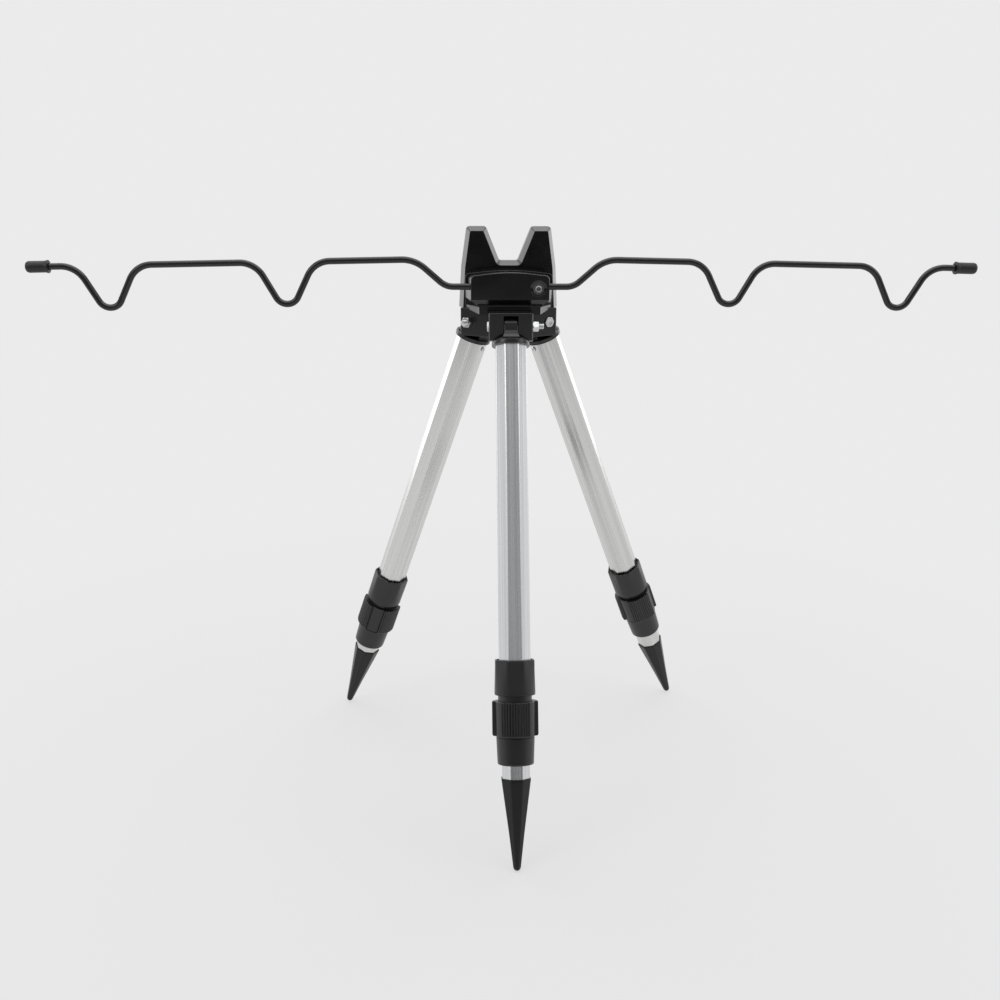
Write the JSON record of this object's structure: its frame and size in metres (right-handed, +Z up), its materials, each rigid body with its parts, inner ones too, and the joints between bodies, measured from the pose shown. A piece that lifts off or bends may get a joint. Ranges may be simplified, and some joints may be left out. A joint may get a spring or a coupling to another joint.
{
  "type": "surf rod tripod",
  "caption": "Folding rod-rest tripod with telescopic spiked legs, a notched head and two bent wire arms with V-shaped rests.",
  "frame": {"origin": "on the ground, in the middle of the outline seen from above, arms included", "axes": "+Z up, X along the two arms with the clamp screw on the +X side, -Y towards the front leg"},
  "size_m": [0.78, 0.2984, 0.481],
  "materials": {
    "black_plastic": "glossy moulded black",
    "aluminium": "satin anodised, drawn lengthwise",
    "black_steel": "gloss black coating",
    "rubber": "matt black",
    "zinc_steel": "bright zinc plated",
    "brass": "plain"
  },
  "bodies": {
    "head": {"hub": "black_plastic", "rest_body": "black_plastic", "rest_rear_cover": "black_plastic", "clamp_housing": "black_plastic", "clamp_cradle": "black_plastic", "pressure_plate": "zinc_steel", "clamp_insert": "brass", "ear_screw_left": "zinc_steel", "ear_screw_right": "zinc_steel", "housing_screw_left": "zinc_steel", "housing_screw_right": "zinc_steel", "rest_hub_screw_left": "zinc_steel", "rest_hub_screw_right": "zinc_steel", "housing_hub_screw": "zinc_steel", "front_hinge_bolt": "zinc_steel", "front_hinge_nut": "zinc_steel", "right_hinge_bolt": "zinc_steel", "right_hinge_nut": "zinc_steel", "left_hinge_bolt": "zinc_steel", "left_hinge_nut": "zinc_steel"},
    "front_leg": {"front_leg_cap": "black_plastic", "front_outer_tube": "aluminium", "front_cap_screw": "zinc_steel", "front_lock_collar": "black_plastic", "front_collet": "black_plastic"},
    "front_knob": {"front_lock_knob": "black_plastic"},
    "front_foot": {"front_inner_tube": "aluminium", "front_guide_bush": "black_plastic", "front_foot_spike": "black_plastic"},
    "right_leg": {"right_leg_cap": "black_plastic", "right_outer_tube": "aluminium", "right_cap_screw": "zinc_steel", "right_lock_collar": "black_plastic", "right_collet": "black_plastic"},
    "right_knob": {"right_lock_knob": "black_plastic"},
    "right_foot": {"right_inner_tube": "aluminium", "right_guide_bush": "black_plastic", "right_foot_spike": "black_plastic"},
    "left_leg": {"left_leg_cap": "black_plastic", "left_outer_tube": "aluminium", "left_cap_screw": "zinc_steel", "left_lock_collar": "black_plastic", "left_collet": "black_plastic"},
    "left_knob": {"left_lock_knob": "black_plastic"},
    "left_foot": {"left_inner_tube": "aluminium", "left_guide_bush": "black_plastic", "left_foot_spike": "black_plastic"},
    "right_arm": {"right_rest_arm": "black_steel", "right_arm_cap": "rubber"},
    "left_arm": {"left_rest_arm": "black_steel", "left_arm_cap": "rubber"},
    "clamp_screw": {"clamp_screw": "zinc_steel"}
  },
  "joints": [
    {"name": "front_leg_fold", "type": "hinge", "parent": "head", "child": "front_leg", "pos_m": [0, 0.0155, 0.40328], "axis": [1, 0, 0], "range_deg": [0, 23]},
    {"name": "front_knob_twist", "type": "hinge", "parent": "front_leg", "child": "front_knob", "pos_m": [0, -0.10352, 0.10869], "axis": [0, -0.3746, -0.9272], "range_deg": [0, 180]},
    {"name": "front_foot_slide", "type": "slide", "parent": "front_leg", "child": "front_foot", "axis": [0, -0.3746, -0.9272], "range_m": [-0.0106, 0.2245]},
    {"name": "right_leg_fold", "type": "hinge", "parent": "head", "child": "right_leg", "pos_m": [0.02511, 0.059, 0.40328], "axis": [-0.5, 0.866, 0], "range_deg": [0, 24.5]},
    {"name": "right_knob_twist", "type": "hinge", "parent": "right_leg", "child": "right_knob", "pos_m": [0.13484, 0.12235, 0.1119], "axis": [0.3453, 0.1994, -0.9171], "range_deg": [0, 180]},
    {"name": "right_foot_slide", "type": "slide", "parent": "right_leg", "child": "right_foot", "axis": [0.3453, 0.1994, -0.9171], "range_m": [-0.0153, 0.2195]},
    {"name": "left_leg_fold", "type": "hinge", "parent": "head", "child": "left_leg", "pos_m": [-0.02511, 0.059, 0.40328], "axis": [-0.5, -0.866, 0], "range_deg": [0, 22]},
    {"name": "left_knob_twist", "type": "hinge", "parent": "left_leg", "child": "left_knob", "pos_m": [-0.12372, 0.11593, 0.10665], "axis": [-0.3104, 0.1792, -0.9336], "range_deg": [0, 180]},
    {"name": "left_foot_slide", "type": "slide", "parent": "left_leg", "child": "left_foot", "axis": [-0.3104, 0.1792, -0.9336], "range_m": [-0.0076, 0.227]},
    {"name": "right_arm_swivel", "type": "hinge", "parent": "head", "child": "right_arm", "pos_m": [0.02, 0.0298, 0.43388], "axis": [1, 0, 0], "continuous": true},
    {"name": "left_arm_swivel", "type": "hinge", "parent": "head", "child": "left_arm", "pos_m": [-0.02, 0.0298, 0.43388], "axis": [1, 0, 0], "continuous": true},
    {"name": "clamp_screw_turn", "type": "hinge", "parent": "head", "child": "clamp_screw", "pos_m": [0.0233, 0.0229, 0.43268], "axis": [0, -1, 0], "range_deg": [0, 360]}
  ]
}
